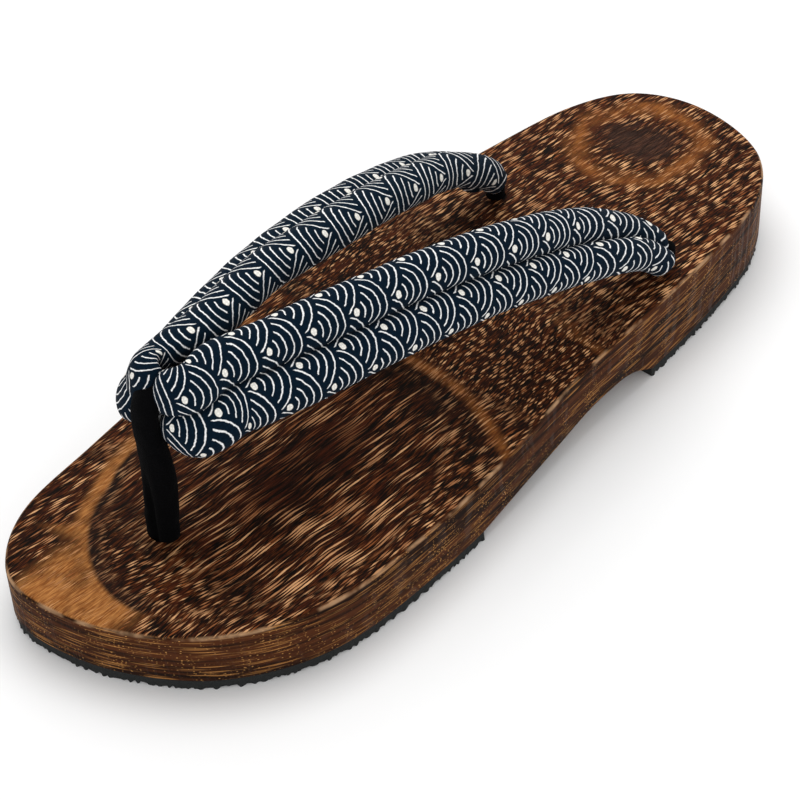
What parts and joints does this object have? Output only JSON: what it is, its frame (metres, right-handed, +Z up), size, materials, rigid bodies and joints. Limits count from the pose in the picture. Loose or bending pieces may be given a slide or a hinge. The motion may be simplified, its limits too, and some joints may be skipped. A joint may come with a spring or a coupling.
{
  "type": "geta sandal",
  "caption": "Left geta sandal: a flat burnt-wood base on rubber pads, with a padded V strap in navy cotton with white waves and a black toe post.",
  "frame": {"origin": "middle of the outer box on the floor: centre of the length and of the width, at the underside of the rubber pads", "axes": "+Y from the toe to the heel, +Z up, +X to the outer side of the left foot"},
  "size_m": [0.1016, 0.28, 0.0784],
  "materials": {
    "wood": "burnt and brushed paulownia, satin",
    "rubber": "matt black sheet",
    "cotton": "navy printed cotton with white waves, padded",
    "felt": "matt black cloth"
  },
  "bodies": {
    "root": {"wood_base": "wood", "toe_rubber": "rubber", "heel_rubber": "rubber", "strap_upper": "cotton", "toe_post": "felt", "rear_cord_outer": "felt", "rear_cord_inner": "felt"}
  },
  "joints": []
}
